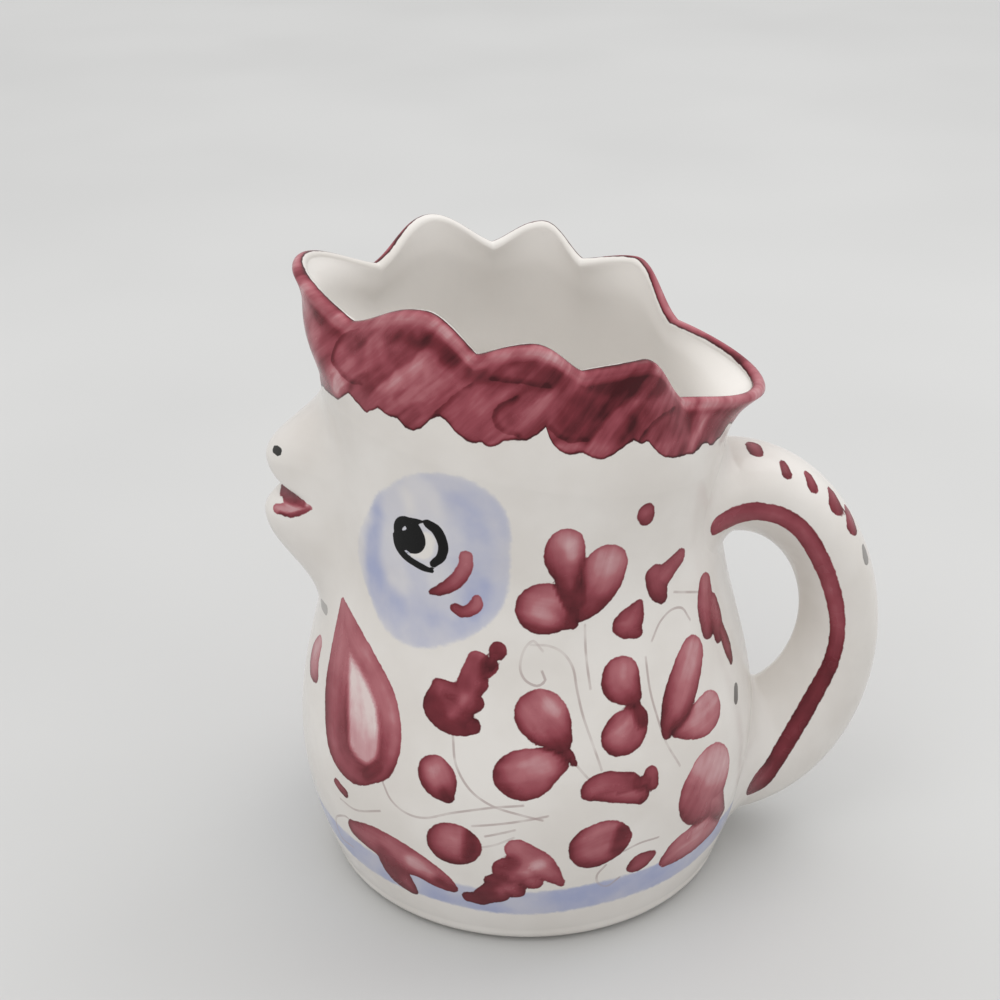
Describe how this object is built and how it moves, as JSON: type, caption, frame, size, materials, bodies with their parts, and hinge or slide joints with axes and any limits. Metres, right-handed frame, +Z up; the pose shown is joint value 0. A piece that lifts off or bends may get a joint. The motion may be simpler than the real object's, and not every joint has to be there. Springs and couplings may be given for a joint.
{
  "type": "pitcher",
  "caption": "Glazed earthenware pitcher shaped like a hen: round belly, scalloped comb for a rim, a beak at the front and a thick loop handle for a tail.",
  "frame": {"origin": "on the axis of the round belly, at the flat underside", "axes": "+Z up, -X towards the beak, +X towards the handle"},
  "size_m": [0.1084, 0.0818, 0.1119],
  "materials": {
    "white_glaze": "glossy off-white tin glaze with hand-painted strokes",
    "comb_glaze": "glossy maroon brush wash over the white glaze"
  },
  "bodies": {
    "root": {"base_disc": "white_glaze", "body_wall": "white_glaze", "comb_rim": "comb_glaze", "upper_beak": "white_glaze", "lower_beak": "white_glaze", "handle": "white_glaze"}
  },
  "joints": []
}
